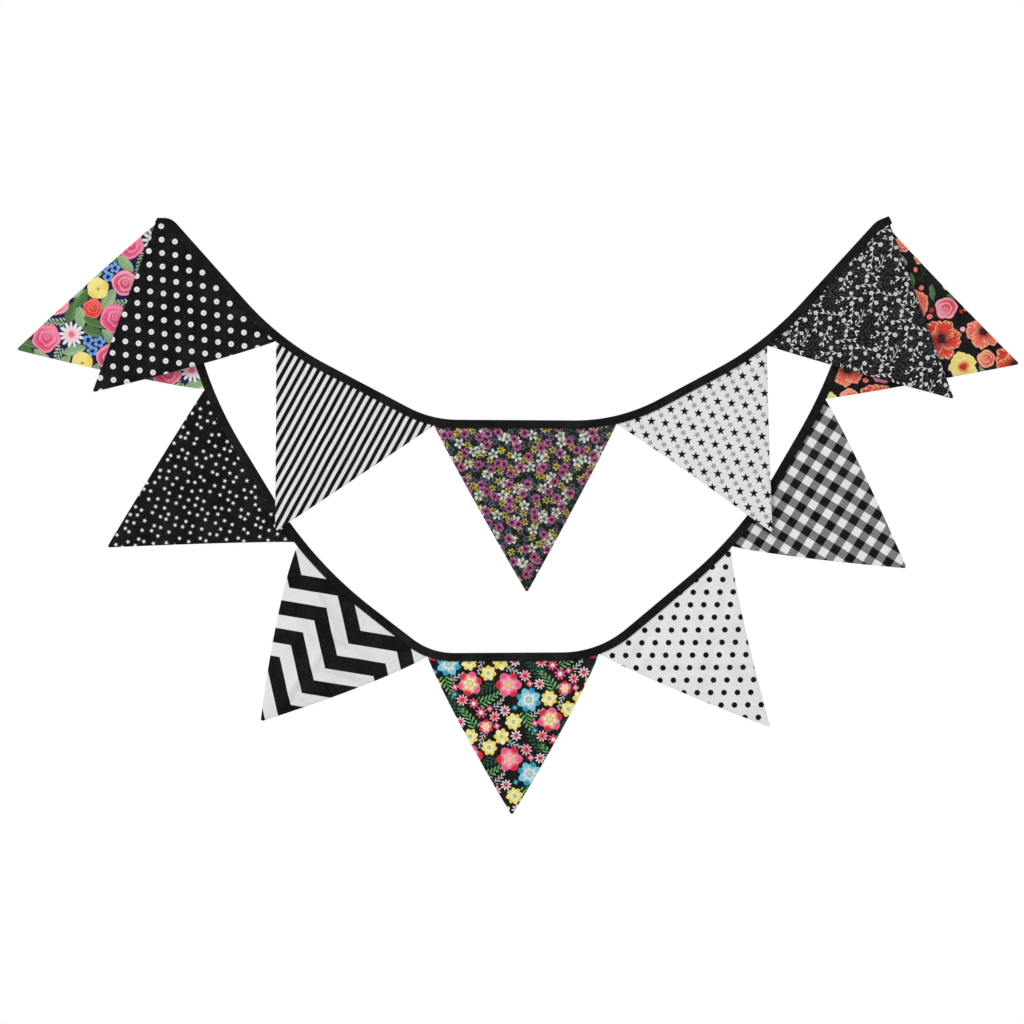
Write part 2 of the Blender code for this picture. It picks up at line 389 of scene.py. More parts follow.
def sheet_piece(name, sheet, thick, edge_round):
    """A bmesh sheet as a piece with its thickness on both sides and rounded edges."""
    mesh = bpy.data.meshes.new(name)
    sheet.to_mesh(mesh)
    sheet.free()
    mesh.shade_smooth()
    piece = set_out(name, mesh)
    piece.vertex_groups.new(name="thickness")
    solid = piece.modifiers.new("Thickness", "SOLIDIFY")
    solid.thickness = thick
    solid.offset = 0
    solid.use_even_offset = True
    solid.vertex_group = "thickness"
    rounding = piece.modifiers.new("Rounded edges", "BEVEL")
    rounding.width = edge_round
    rounding.segments = 2
    rounding.limit_method = "ANGLE"
    rounding.angle_limit = radians(55)
    return piece


def lattice_triangle():
    """A flat triangle (0, 0), (1, 0), (0.5, -1) in small triangles, with a margin above its top."""
    sheet = bmesh.new()
    corners = [sheet.verts.new(place) for place in ((0, 0, 0), (1, 0, 0), (0.5, -1, 0))]
    sheet.faces.new(corners)
    bmesh.ops.subdivide_edges(
        sheet, edges=sheet.edges[:], cuts=LATTICE_ROWS - 1, use_grid_fill=True
    )
    everything = sheet.verts[:] + sheet.edges[:] + sheet.faces[:]
    bmesh.ops.bisect_plane(
        sheet, geom=everything, plane_co=(0, -TIP_TRIM, 0), plane_no=(0, -1, 0), clear_outer=True
    )
    tips = [v for v in sheet.verts if v.co.y < 1e-4 - TIP_TRIM and len(v.link_edges) < 4]
    bmesh.ops.bevel(
        sheet, geom=tips, affect="VERTICES", offset=TIP_ROUND, segments=2, profile=0.5, material=-1
    )
    top = [edge for edge in sheet.edges if all(abs(vert.co.y) < 1e-5 for vert in edge.verts)]
    for item in bmesh.ops.extrude_edge_only(sheet, edges=top)["geom"]:
        if isinstance(item, bmesh.types.BMVert):
            item.co.y = 1
    return sheet


print("a lattice of", LATTICE_ROWS, "rows,", LATTICE_ROWS**2, "triangles")

# %% [markdown]
# ## Cutting the pennants
# Each point of the lattice is carried to its place on the hanging pennant. The edge is thinner
# than the rest, and a band along each side is thicker, where the seam's spare cloth lies inside.
# Nothing may lie behind the wall, so the cloth's middle keeps a small gap from it. The UV map
# holds each point's flat place in metres, so a print keeps its real size and lies straight.

# %% Cut the twelve pennants
MARGIN_TOP = 0.0026
WALL_GAP = 0.0009
CREASED_FROM = 0.12
SEAM_PLACES = (0, 1.6, 5.2, 8.0)
SEAM_SHARES = (0.42, 1.0, 1.0, 0.66)
PENNANT_THICK = 0.00115
EDGE_ROUND = 0.00018


def cut_pennant(seed, row):
    run = SWAGS[row["swag"]]
    middle, along, down = frame_of(row, run)
    right = along * run.side
    tip = tip_of(row, run)
    width = row["ends"] - row["starts"]
    sheet = lattice_triangle()
    weights = sheet.verts.layers.deform.verify()
    cloth = sheet.loops.layers.uv.new("cloth")
    spots = np.array([vert.co[:2] for vert in sheet.verts])
    in_margin = spots[:, 1] > 0.5
    fall = np.clip(-spots[:, 1], 0, 1)
    fraction = np.clip((spots[:, 0] - fall / 2) / (1 - fall), 0, 1)
    top, top_points = corner_of(row, run, fraction)
    hung = tip + (1 - fall)[:, None] * (top_points - tip) + side_bow(row, run, tip, fraction, fall)
    hung = np.where(in_margin[:, None], run.at(top, MARGIN_TOP), hung)
    flat = np.stack([(hung - middle) @ right, -(hung - middle) @ down], axis=-1)
    across, up = flat.T * 1000
    uneven = crease_rise(row["name"], across, up) + rumple(seed, across, up)
    forward = forward_of(row, fraction, fall) + np.minimum(1, fall / CREASED_FROM) * uneven / 1000
    forward = np.maximum(forward, WALL_GAP - run.depth)
    slant = cos(atan2(width / 2, row["drop"]))
    from_side = np.minimum(fraction, 1 - fraction) * (1 - fall) * width * slant
    share = np.where(in_margin, 1, np.interp(from_side, SEAM_PLACES, SEAM_SHARES))
    for vert, (x, z), ahead, thickness in zip(sheet.verts, hung, forward, share):
        vert.co = (x, -run.depth - ahead, z)
        vert[weights][0] = thickness
    sheet.verts.index_update()
    for face in sheet.faces:
        for loop in face.loops:
            loop[cloth].uv = flat[loop.vert.index]
    bmesh.ops.recalc_face_normals(sheet, faces=sheet.faces)
    if sum(face.normal.y for face in sheet.faces) > 0:
        bmesh.ops.reverse_faces(sheet, faces=sheet.faces)
    return sheet_piece(row["name"] + "_cloth", sheet, PENNANT_THICK, EDGE_ROUND)


pennants = {}
for seed, row in enumerate(PENNANTS):
    piece = cut_pennant(seed, row)
    pennants[row["name"]] = piece
    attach(piece, "root")
    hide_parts("pennant_" + row["name"])
    row["name"] + "_cotton"
print("cut", len(pennants), "pennants of", len(piece.data.polygons), "faces on their middle plane")

# %% [markdown]
# ## The folded tape
# Bunting tape is a strip of black cotton folded over the tops of the pennants and sewn through
# near its lower edges. Its section is a narrow upturned U: two leaves that stand a little apart
# at the fold and are drawn in where the stitching holds them. Where the tape is pinched, the
# section is shorter, and has as many points, so that one grid fits them all.

# %% Draw the tape's section
FOLD_ASIDE = 0.0014
FOLD_TOP = 0.0004
SEWN_ASIDE = 0.00103
SEWN_BITE = 0.00003
EDGE_BITE = 0.00004
LEAF_SPREAD = 0.0002
STITCH_BELOW = 0.0016
NARROW = 0.0075
ARC_STEPS = 6
LEAF_POINTS = 5


def leaf_section(height):
    """The tape's section from one lower edge over the fold to the other: (below, aside)."""
    if height < NARROW:
        shares = np.arange(LEAF_POINTS, 0, -1) / LEAF_POINTS
        leaf = [
            (FOLD_ASIDE + (height - FOLD_ASIDE) * share, SEWN_ASIDE + LEAF_SPREAD * (1 - share))
            for share in shares
        ]
    else:
        leaf = [
            (height, SEWN_ASIDE - EDGE_BITE),
            (height - STITCH_BELOW * 0.5, SEWN_ASIDE),
            (height - STITCH_BELOW, SEWN_ASIDE - SEWN_BITE),
            (height - STITCH_BELOW * 1.8, SEWN_ASIDE + LEAF_SPREAD),
            ((height + FOLD_ASIDE) / 2, FOLD_ASIDE),
        ]
    arc = []
    for angle in np.linspace(0, pi, ARC_STEPS + 1):
        below = FOLD_ASIDE * (1 - sin(angle)) + FOLD_TOP * sin(angle)
        arc.append((below, FOLD_ASIDE * cos(angle)))
    return leaf + arc + [(below, -aside) for below, aside in reversed(leaf)]


def unrolled(section):
    """How much cloth lies along this part of a section."""
    return sum(hypot(b[0] - a[0], b[1] - a[1]) for a, b in zip(section, section[1:]))


tape_width = unrolled(leaf_section(TAPE_HEIGHT))
print("tape", round(tape_width * 1000, 1), "mm wide when flat")

# %% [markdown]
# The tape is one piece: it runs along the front swag, makes a half turn at the right corner and
# comes back along the rear one. Each station on the way says where the section goes and how it
# is turned. A curve object would twist the section at the corner, so the half turn is worked out.

# %% Follow the tape through its half turn
TAPE_STEP = 0.0032
TURN_STEPS = 10


def tape_stations():
    """The tape's base point, angle, lean, outward way, height and length so far at each place."""
    stations = []

    def follow(run, outward, so_far):
        for s in np.linspace(0, run.length, round(run.length / TAPE_STEP) + 1):
            x, z = run.at(s, 0)
            base = (x, -run.depth, z)
            stations.append((base, *run.across(s), (0, outward, 0), run.height(s), so_far + s))

    follow(front, -1, 0)
    last, first = front.at(front.length, 0), rear.at(0, 0)
    ends = [
        np.array((*run.across(s), run.height(s))) for run, s in ((front, front.length), (rear, 0))
    ]
    for step in range(1, TURN_STEPS):
        turned = pi * step / TURN_STEPS
        share = (1 - cos(turned)) / 2
        angle, lean, height = ends[0] + (ends[1] - ends[0]) * share
        away = (cos(angle + pi / 2), sin(angle + pi / 2))
        reach = TURN_REACH * sin(turned)
        x, z = last + (first - last) * share
        y = -FRONT_DEPTH + TURN_RADIUS * (1 - cos(turned))
        out = (away[0] * sin(turned), -cos(turned), away[1] * sin(turned))
        base = (x + away[0] * reach, y, z + away[1] * reach)
        stations.append((base, angle, lean, out, height, front.length + TURN_RADIUS * turned))
    follow(rear, 1, front.length + TURN_RADIUS * pi)
    return stations


tape_path = tape_stations()

# %% [markdown]
# A flat grid from `create_grid` is folded round the section at every station. The lower edges
# wander slightly, as hand-guided sewing does, and the leaves wave a little between stitches.

# %% Fold the tape
TAPE_WALL = 0.0008
TAPE_ROUND = 0.0002
WANDER = 0.00022
LEAF_WAVE = 0.00012
WANDER_SEEDS = {1: 3, -1: 8}
WAVE_SEEDS = {1: 21, -1: 34}


def wander(s, seed):
    """A slow, uneven drift of an edge, between about -1 and 1."""
    return noise.noise(Vector((s * 31, seed, 0.5))) * 1.4


def fold_tape(stations):
    columns = len(leaf_section(TAPE_HEIGHT))
    sheet = bmesh.new()
    bmesh.ops.create_grid(sheet, x_segments=len(stations) - 1, y_segments=columns - 1, size=1)
    weights = sheet.verts.layers.deform.verify()
    cloth = sheet.loops.layers.uv.new("cloth")
    sections = [leaf_section(station[4]) for station in stations]
    flat = {}
    for vert in sheet.verts:
        station = round((vert.co.x + 1) / 2 * (len(stations) - 1))
        column = round((vert.co.y + 1) / 2 * (columns - 1))
        base, angle, lean, out, height, so_far = stations[station]
        section = sections[station]
        below, aside = section[column]
        if not LEAF_POINTS <= column < columns - LEAF_POINTS:
            leaf = 1 if aside > 0 else -1
            low = below / height
            wave = wander(so_far * 2.2, WAVE_SEEDS[leaf]) * sin(pi * min(1, low))
            below += WANDER * wander(so_far, WANDER_SEEDS[leaf]) * low**2
            aside += leaf * LEAF_WAVE * wave
        reach = below / cos(lean)
        vert.co.x = base[0] + reach * cos(angle) + aside * out[0]
        vert.co.y = base[1] + aside * out[1]
        vert.co.z = base[2] + reach * sin(angle) + aside * out[2]
        vert[weights][0] = 1.0
        flat[vert] = (so_far, unrolled(section[: column + 1]))
    for face in sheet.faces:
        for loop in face.loops:
            loop[cloth].uv = flat[loop.vert]
    bmesh.ops.recalc_face_normals(sheet, faces=sheet.faces)
    return sheet_piece("folded_tape", sheet, TAPE_WALL, TAPE_ROUND)


folded_tape = fold_tape(tape_path)
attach(folded_tape, "root")
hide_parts("tape")
print("tape folded from", len(folded_tape.data.polygons), "faces")

# %% [markdown]
# ## The stitching
# A sewing machine leaves a row of short threads along the tape, each dipping into the cloth at
# both ends. Every stitch is one low sphere from `create_uvsphere`, drawn out along the tape and
# sunk by half. There are well over a thousand of them, so each has only a few faces. A bmesh
# grows slow as it fills, so the seam is sewn in short lengths that are joined.

# %% Sew the tape
STITCH_PITCH = 0.0031
STITCH_LENGTH = 0.0024
STITCH_WIDTH = 0.00042
STITCH_RISE = 0.00034
STITCHES_AT_ONCE = 50
STITCH_SINKS = 0.00004
STITCH_SLANT = 0.06
STITCH_DRIFT = 0.0002
FIRST_STITCH = 0.010
LAST_STITCH = 0.006


def stitch_places(run, way):
    """Where the stitches of one swag lie, on the tape's near (-1) or far (1) leaf."""
    places = []
    lift = SEWN_ASIDE + TAPE_WALL / 2 - STITCH_SINKS
    size = Matrix.Diagonal((STITCH_LENGTH / 2, STITCH_RISE / 2, STITCH_WIDTH / 2, 1))
    for number in range(int((run.length - FIRST_STITCH - LAST_STITCH) / STITCH_PITCH)):
        s = FIRST_STITCH + number * STITCH_PITCH
        drift = STITCH_DRIFT * wander(s, 5)
        here, later = (run.at(p, run.height(p) - STITCH_BELOW + drift) for p in (s, s + 0.001))
        heading = atan2(later[1] - here[1], later[0] - here[0])
        place = Vector((here[0], -run.depth + way * lift, here[1]))
        turn = Matrix.Rotation(-heading - STITCH_SLANT, 4, "Y")
        places.append(Matrix.Translation(place) @ turn @ size)
    return places


stitch_mesh = bpy.data.meshes.new("tape_stitching")
all_places = []
for run in (front, rear):
    for way in (-1, 1):
        all_places += stitch_places(run, way)
seam = bmesh.new()
for first in range(0, len(all_places), STITCHES_AT_ONCE):
    length_of_seam = bmesh.new()
    for place in all_places[first : first + STITCHES_AT_ONCE]:
        bmesh.ops.create_uvsphere(
            length_of_seam, u_segments=6, v_segments=4, radius=1, matrix=place
        )
    length_of_seam.to_mesh(stitch_mesh)
    length_of_seam.free()
    seam.from_mesh(stitch_mesh)
seam.to_mesh(stitch_mesh)
seam.free()
stitch_mesh.shade_smooth()
tape_stitching = set_out("tape_stitching", stitch_mesh)
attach(tape_stitching, "root")
print("stitching has", len(stitch_mesh.polygons), "faces")

# %% [markdown]
# ## What was cut from flat cloth
# The flat size each pennant was cut to is worked out: its width, its drop with the strip above
# its top, and its area, a triangle and that strip. Nothing else uses these sizes.

for row in PENNANTS:
    width = (row["ends"] - row["starts"]) / 1000
    drop = row["drop"] / 1000 + TAPE_HEIGHT - MARGIN_TOP
    area = width * row["drop"] / 2000 + width * (TAPE_HEIGHT - MARGIN_TOP)
print("declared", len(PENNANTS) + 1, "sheets")

# %% [markdown]
# ## Formulas made of nodes
# A print is a formula: for each point of the cloth it says which ink is there. Blender's Math
# and Vector Math nodes hold such formulas, but a long one is hard to read when every node is
# made by hand. So `Flow` wraps one output of one node, and Python's own signs add the next node
# to it. The formula then reads as it would on paper.

# %% A small language for node formulas
class Flow:
    """A value on its way through the material that is being made."""

    tree = None

    def __init__(self, socket):
        self.socket = socket

    def __add__(self, other):
        return sums("ADD", self, other)

    def __sub__(self, other):
        return sums("SUBTRACT", self, other)

    def __rsub__(self, other):
        return sums("SUBTRACT", other, self)

    def __mul__(self, other):
        return sums("MULTIPLY", self, other)

    def __truediv__(self, other):
        return sums("DIVIDE", self, other)

    def __abs__(self):
        return sums("ABSOLUTE", self)


def join(value, socket):
    """Links a Flow to a node's input, or types a plain value into it."""
    if isinstance(value, Flow):
        Flow.tree.links.new(value.socket, socket)
    elif isinstance(value, tuple):
        socket.default_value = value[: len(socket.default_value)]
    else:
        socket.default_value = value


def step(kind, *values, operation=None, **sockets):
    """A new node, its inputs joined to the values in order, or by their names."""
    node = Flow.tree.nodes.new("ShaderNode" + kind)
    if operation:
        node.operation = operation
    for value, socket in zip(values, node.inputs):
        join(value, socket)
    for name, value in sockets.items():
        join(value, node.inputs[name])
    return node


def sums(kind, *values, clamp=False):
    node = step("Math", *values, operation=kind)
    node.use_clamp = clamp
    return Flow(node.outputs[0])


def moves(kind, *values):
    node = step("VectorMath", *values, operation=kind)
    return Flow(node.outputs["Value" if kind in ("DOT_PRODUCT", "LENGTH") else "Vector"])


print("node formulas ready")

# %% [markdown]
# A print also needs a few steps that come again and again: to take a place apart, to turn it,
# to paint one ink over another, and to turn a distance into a soft-edged shape. Inks are named
# by how they look in the studio, so a dye is first made less bright by the light that falls on it.

# %% The printer's own steps
def split(place):
    node = step("SeparateXYZ", place)
    return Flow(node.outputs[0]), Flow(node.outputs[1])


def polar(place):
    """How far the place is from the motif's middle, and at which angle."""
    x, y = split(place)
    return moves("LENGTH", place), sums("ARCTAN2", y, x)


def turned(place, angle):
    node = step("VectorRotate", Vector=place, Angle=angle)
    node.rotation_type = "Z_AXIS"
    return Flow(node.outputs[0])


def paint(under, over, cover):
    """The colour over on top of the colour under, as far as cover, from 0 to 1, hides it."""
    node = Flow.tree.nodes.new("ShaderNodeMix")
    node.data_type = "RGBA"
    for value, name in ((cover, "Factor_Float"), (under, "A_Color"), (over, "B_Color")):
        join(value, next(socket for socket in node.inputs if socket.identifier == name))
    return Flow(next(socket for socket in node.outputs if socket.identifier == "Result_Color"))


def cover(inside, soft=0.4):
    """1 inside a shape and 0 outside it, from how many millimetres inside it the place is."""
    return sums("MULTIPLY_ADD", inside, 1 / soft, 0.5, clamp=True)


def least(a, b):
    return sums("MINIMUM", a, b)


LIGHT_ON_CLOTH = 1.6


def dye(red, green, blue):
    """The share of light that the cloth returns, from its colour in the studio, 0 to 255."""
    shares = [c / 255 for c in (red, green, blue)]
    linear = [((c + 0.055) / 1.055) ** 2.4 if c > 0.04 else c / 12.92 for c in shares]
    return (*(c / LIGHT_ON_CLOTH for c in linear), 1)


print("dye(255, 255, 255) returns", round(dye(255, 255, 255)[0], 2), "of the light")

# %% [markdown]
# ## The cloth under the print
# Plain cotton is a weave of threads about half a millimetre apart. It is matt, a little fuzzy,
# and no two threads take the ink alike. The weave is two sine waves multiplied, so that threads
# pass over and under each other, and it drives the bump. A noise drawn out along the threads
# (the slub) varies brightness and roughness. A slow one makes pale and dark patches, partly uneven
# dye and partly painted shade of soft folds. Where a second slow one and the slub are both high,
# the colour is painted towards grey: partly worn ink and lint, partly painted sheen on dark cloth.
# The tape's cloth is a steeper twill with slanting ribs.

# %% Weave and finish a cloth
THREAD_PITCH = 0.55
WEAVE_DEPTH = 0.00006


def start_material(name):
    material = bpy.data.materials.new(name)
    material.use_nodes = True
    Flow.tree = material.node_tree
    return material


def flat_cloth():
    """The place on the flat cloth, in millimetres, from the piece's UV map."""
    node = step("UVMap")
    node.uv_map = "cloth"
    return moves("MULTIPLY", Flow(node.outputs[0]), (1000, 1000, 0))


def speckle(place, scale, detail=2.0):
    return Flow(step("TexNoise", Vector=place, Scale=scale, Detail=detail).outputs[0])


def plain_weave(cloth):
    x, y = split(moves("MULTIPLY", cloth, (2 * pi / THREAD_PITCH,) * 3))
    return sums("SINE", x) * sums("SINE", y)


def twill(cloth):
    x, y = split(moves("MULTIPLY", cloth, (2 * pi / THREAD_PITCH, 1.6 * pi / THREAD_PITCH, 1)))
    return sums("SINE", x + y)


# A mid grey painted into the cloth in patches: partly worn ink and lint, partly painted sheen on
# the dark cloth.
WORN_AND_SHEEN_GREY = dye(112, 111, 110)
SLUB_STRETCH = (0.9, 0.16, 1)
DYE_AND_SHADE_PATCH_SCALE = 0.045
WEAR_AND_SHEEN_SCALE = 0.034
MATT = {"Specular IOR Level": 0.03, "Sheen Weight": 0.03, "Sheen Roughness": 0.6}


def finish_cloth(material, cloth, ink, weave, rough=0.85):
    """Joins the print and the weave to the material's shader."""
    shader = material.node_tree.nodes["Principled BSDF"]
    slub = speckle(moves("MULTIPLY", cloth, SLUB_STRETCH), 1.0)
    # Pale and dark patches in the colour: partly uneven dye, partly painted shade of soft folds.
    dye_and_shade_patch = speckle(cloth, DYE_AND_SHADE_PATCH_SCALE, 1.5)
    tone = sums("MULTIPLY_ADD", slub, 0.36, 0.82) * sums("MULTIPLY_ADD", dye_and_shade_patch, 0.12, 0.94)
    tone = tone * sums("MULTIPLY_ADD", weave, 0.05, 1.0)
    wear_and_sheen_threads = sums("MULTIPLY_ADD", slub, 0.16, -0.135)
    # Where this is high the colour turns grey: partly worn ink, partly painted sheen.
    wear_and_sheen = sums("MULTIPLY_ADD", speckle(cloth, WEAR_AND_SHEEN_SCALE, 2.5), 0.16, wear_and_sheen_threads, clamp=True)
    ink = paint(ink, WORN_AND_SHEEN_GREY, wear_and_sheen)
    shade = Flow(step("CombineXYZ", tone, tone, tone).outputs[0])
    join(moves("MULTIPLY", ink, shade), shader.inputs["Base Color"])
    join(sums("MULTIPLY_ADD", slub, 0.2, rough - 0.1), shader.inputs["Roughness"])
    for name, value in MATT.items():
        shader.inputs[name].default_value = value
    bump = step("Bump", Strength=0.5, Distance=WEAVE_DEPTH)
    join(weave + slub * 0.8, bump.inputs["Height"])
    join(Flow(bump.outputs[0]), shader.inputs["Normal"])


BLACK = dye(9, 9, 11)
WHITE = dye(225, 225, 227)

tape_finish = start_material("black_twill_tape")
tape_cloth = flat_cloth()
finish_cloth(tape_finish, tape_cloth, dye(13, 13, 15), twill(tape_cloth))
folded_tape.data.materials.append(tape_finish)

thread_finish = start_material("black_sewing_thread")
where = Flow(step("TexCoord").outputs["Object"])
thread_place = moves("MULTIPLY", where, (1000, 1000, 1000))
x, y = split(thread_place)
finish_cloth(thread_finish, thread_place, dye(24, 24, 26), sums("SINE", x * 9 + y * 5), 0.65)
tape_stitching.data.materials.append(thread_finish)
print("materials so far:", [m.name for m in bpy.data.materials if m.name.startswith("black")])

# %% [markdown]
# ## Motifs
# Most prints repeat a few motifs. Each function below takes a place measured from the motif's
# own middle, works out how far inside the motif it lies, and paints it over the colour so far.
# A flower is a circle whose radius swings with the angle, and a star is one slanting edge
# folded five ways.

# %% Dots, stars and flowers
def dot(place, under, size, ink):
    return paint(under, ink, cover(size / 2 - moves("LENGTH", place)))


def star(place, under, size, ink, waist=0.42):
    reach, angle = polar(place)
    fifth = pi / 5
    notch = (waist * cos(fifth) - 1, waist * sin(fifth))
    slope = (notch[1] / hypot(*notch), -notch[0] / hypot(*notch))
    folded = abs(sums("WRAP", angle, fifth, -fifth))
    edge = sums("COSINE", folded) * slope[0] + sums("SINE", folded) * slope[1]
    return paint(under, ink, cover(size / 2 * slope[0] - reach * edge))


def blossom(
    place, under, size, petals, outer, inner, heart, notch=0.35, other=None, heart_share=0.15
):
    """A round flower. other colours every second petal, if it is given."""
    reach, angle = polar(place)
    swing = sums("COSINE", angle * (petals / 2))
    lobe = abs(swing)
    edge = (lobe * notch + (1 - notch)) * (size / 2)
    if other:
        outer = paint(outer, other, cover(swing, 0.1))
    tone = sums("MULTIPLY_ADD", reach / edge, lobe * 1.1 + 0.9, -0.35, clamp=True)
    petal = paint(inner, outer, tone)
    flower = paint(under, petal, cover(edge - reach))
    return paint(flower, heart, cover(size * heart_share - reach + lobe * (size * 0.04)))


def double_bloom(place, under, size, petals, outer, other, inner, heart):
    """Two rings of petals, the inner one smaller, paler and turned by half a petal."""
    colour = blossom(place, under, size, petals, outer, inner, heart, 0.26, other, 0.1)
    ring = turned(place, pi / petals)
    colour = blossom(ring, colour, size * 0.5, petals, inner, other, heart, 0.34, None, 0.1)
    return blossom(ring, colour, size * 0.24, petals, heart, inner, heart, 0.3, None, 0.05)


print("motifs: dot, star, blossom, double bloom")

# %% [markdown]
# A cabbage rose and a poppy have petals that lie over each other, which no single formula
# gives. So they are painted as discs, each with a darker rim, from the outermost to the
# innermost, and noise-like sines of the angle ruffle their edges and streak the poppy's petals.

# %% Roses and poppies
def disc(place, middle):
    return moves("LENGTH", moves("SUBTRACT", place, (*middle, 0)))


ROSE_LAYERS = (1.0, 0.84, 0.76, 0.62, 0.5, 0.38, 0.27, 0.16)


def rose(place, under, size, light, middle, deep):
    """A cabbage rose: rounded petals laid over each other, each smaller and turned further."""
    ruffle = sums("SINE", polar(place)[1] * 5) * (size * 0.02)
    colour = under
    for layer, share in enumerate(ROSE_LAYERS):
        drift = size * 0.07 * share if layer else 0.0
        away = disc(place, (cos(layer * 2.4) * drift, sin(layer * 2.4) * drift))
        radius = size / 2 * share
        rim = sums("MULTIPLY_ADD", away, 2.0 / radius, -1.0, clamp=True)
        if layer % 3 == 2:
            petal = paint(deep, middle, rim * (1.1 - 0.07 * layer))
        else:
            petal = paint(middle, light, rim)
        inside = ruffle * share + radius - away
        petal = paint(deep, petal, cover(inside - size * 0.012, size * 0.03))
        colour = paint(colour, petal, cover(inside))
    return colour


POPPY_TURNS = (0.1, 2.65, 1.3, 3.9, 5.2)


def poppy(place, under, size, light, middle, dark, pale):
    """Five broad, crumpled petals, streaked from a dark middle to a pale rim."""
    reach, angle = polar(place)
    streak = sums("SINE", angle * 23 + sums("SINE", reach * 0.5) * 2.5)
    streak = streak + sums("SINE", angle * 37 + reach * 0.3) * 0.6
    frill = sums("SINE", angle * 17) * (size * 0.012)
    frill = frill + sums("SINE", angle * 9 + 1.0) * (size * 0.016)
    colour = under
    for layer, turn in enumerate(POPPY_TURNS):
        away = disc(place, (cos(turn) * size * 0.21, sin(turn) * size * 0.21))
        inside = frill + size * (0.30 - 0.012 * layer) - away
        tone = sums("MULTIPLY_ADD", streak, 0.22, reach * (2.0 / size) - 0.1, clamp=True)
        petal = paint(middle, light, tone) if layer % 2 else paint(light, middle, tone)
        rim = sums("MULTIPLY_ADD", streak, 0.3, inside * (-9 / size) + 0.75, clamp=True)
        petal = paint(petal, pale, rim)
        outside = sums("MULTIPLY_ADD", streak, 0.12, reach * (5.5 / size) - 0.35, clamp=True)
        petal = paint(dark, petal, outside)
        petal = paint(dark, petal, cover(inside - size * 0.006, size * 0.02))
        colour = paint(colour, petal, cover(inside))
    return paint(colour, dark, cover(streak * (size * 0.02) + size * 0.09 - reach, 2.0))


print("motifs: rose, poppy")

# %% [markdown]
# Leaves and stems lie along the x axis from the motif's own start. A leaf is two arcs. A
# frond's leaflets are one leaf that `WRAP` repeats along the stem, slanted by sliding it forward
# as it leaves the stem, and a spray's stalks are made the same way.

# %% Leaves, fronds and sprays
def leaf(place, under, length, width, light, dark):
    """A pointed leaf with a midrib and long veins that follow its edges."""
    x, y = split(place)
    inside = x * (1 - x / length) * (2 * width / length)
    side = abs(y)
    share = y / sums("MAXIMUM", inside, 0.2)
    blade = paint(light, dark, sums("MULTIPLY_ADD", share, -0.35, 0.3, clamp=True))
    vein = sums("COSINE", share * 12.5)
    blade = paint(blade, dark, sums("MULTIPLY_ADD", vein, -1.1, -0.25, clamp=True) * 0.75)
    blade = paint(blade, dark, cover(0.25 - side) * 0.8)
    return paint(under, blade, cover(inside - side))


def frond(place, under, length, bend, leaflet, gap, width, ink, slant=0.9):
    """A curved stem with leaflets set in turn on its two sides."""
    x, y = split(place)
    side = y - x * x * bend
    off = abs(side)
    within = least(x, length - x)
    reach = (x * (-0.6 / length) + 1) * leaflet
    along = sums("WRAP", x - off * slant + sums("SIGN", side) * (gap / 4), gap / 2, -gap / 2)
    share = (off - 0.3) / reach
    lens = share * (1 - share) * (2 * width) - abs(along)
    shape = sums("MAXIMUM", least(lens, x + 1), least(0.26 - off, within))
    return paint(under, ink, cover(least(shape, length + 1 - x)))


def spray(place, under, length, bend, stalk, gap, bud, ink):
    """A curved stem with thin stalks on both sides, each ending in a round bud."""
    x, y = split(place)
    off = abs(y - x * x * bend)
    within = least(x, length - x)
    along = abs(sums("WRAP", x - off * 0.7, gap / 2, -gap / 2))
    stalks = least(0.24 - along, stalk - off)
    past = off - stalk
    buds = bud / 2 - sums("SQRT", along * along + past * past)
    shape = sums("MAXIMUM", least(sums("MAXIMUM", stalks, buds), within), least(0.3 - off, within))
    return paint(under, ink, cover(shape))


print("motifs: leaf, frond, spray")

# %% [markdown]
# The vine print's sprig has only a few leaves, so they are set one by one, each measured from
# its own point of the bent stem: a share of its length, and how many degrees the leaf lifts.

# %% Sprigs, berries and curls
SPRIG_LEAVES = ((0.28, 44), (0.66, 40), (0.96, 30), (0.96, -34))
SPRIG_STALK = (0.5, -62, 5.0)
SPRIG_LEAF = (5.2, 1.7)


def petal(place, under, length, width, ink):
    x, y = split(place)
    return paint(under, ink, cover(x * (1 - x / length) * (2 * width / length) - abs(y)))


def on_stem(place, bend, start, lift):
    """The place measured from a point on a bent stem, along a shoot lifted from it by lift."""
    slope = atan2(2 * bend * start, 1)
    away = moves("SUBTRACT", place, (start, bend * start * start, 0))
    return turned(away, -slope - radians(lift))


def sprig(place, under, length, bend, flower, ink, shade):
    """A bending stem with a pair of leaves at its end, and a flower at its foot and on a shoot."""
    x, y = split(place)
    side = 1 if bend > 0 else -1
    stem = least(0.24 - abs(y - x * x * bend), least(x, length - x))
    share, lift, stalk = SPRIG_STALK
    shoot = on_stem(place, bend, share * length, lift * side)
    x, y = split(shoot)
    stem = sums("MAXIMUM", stem, least(0.22 - abs(y), least(x, stalk - x)))
    colour = paint(under, ink, cover(stem))
    for share, lift in SPRIG_LEAVES:
        colour = petal(on_stem(place, bend, share * length, lift * side), colour, *SPRIG_LEAF, ink)
    colour = blossom(place, colour, flower, 5, ink, shade, shade, 0.26, None, 0.07)
    tip = moves("SUBTRACT", shoot, (stalk, 0, 0))
    return blossom(tip, colour, flower * 0.86, 5, ink, shade, shade, 0.26, None, 0.07)


def berries(place, under, size, ink):
    """Three round buds close together."""
    colour = under
    for x, y in ((0, 0), (size * 1.5, size * 0.7), (size * 0.4, size * 1.6)):
        colour = paint(colour, ink, cover(size / 2 - disc(place, (x, y))))
    return colour


